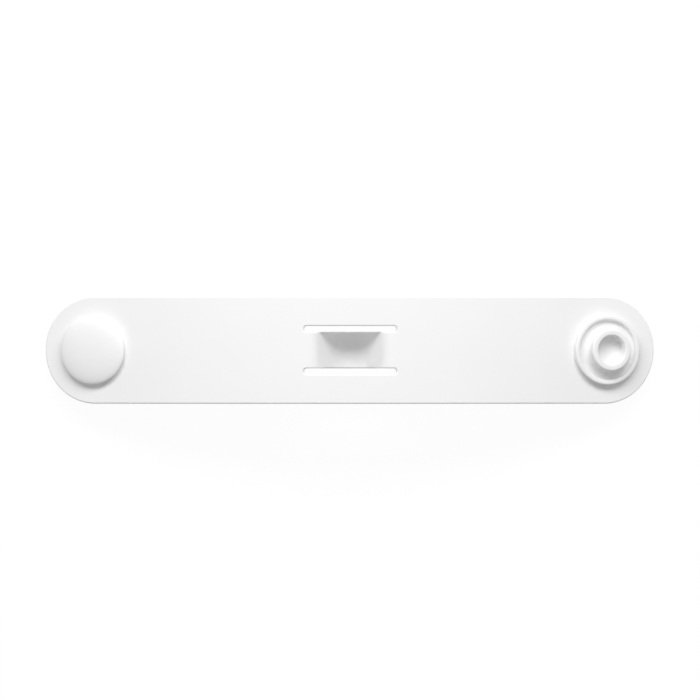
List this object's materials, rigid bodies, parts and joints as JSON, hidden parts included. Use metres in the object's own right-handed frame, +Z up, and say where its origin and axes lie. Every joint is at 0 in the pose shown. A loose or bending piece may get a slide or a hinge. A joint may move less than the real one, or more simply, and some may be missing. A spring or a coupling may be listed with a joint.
{
  "type": "cable holder strap",
  "caption": "Soft white snap strap, bowed, with round ends: a band between slots in its middle carries a lead, and a snap stud and socket close the strap into a loop.",
  "frame": {"origin": "centre of the bounding box on the surface that the bowed strap stands on", "axes": "+X along the strap from the button end to the stud end, +Y across the strap along the lead, +Z up, out of the strap's front"},
  "size_m": [0.0964, 0.017, 0.0145],
  "materials": {
    "strap_silicone": "matte white silicone rubber",
    "snap_plastic": "satin white moulded plastic"
  },
  "bodies": {
    "root": {"strap": "strap_silicone", "front_cap": "snap_plastic", "socket": "snap_plastic", "stud": "snap_plastic", "back_cap": "snap_plastic"}
  },
  "joints": []
}
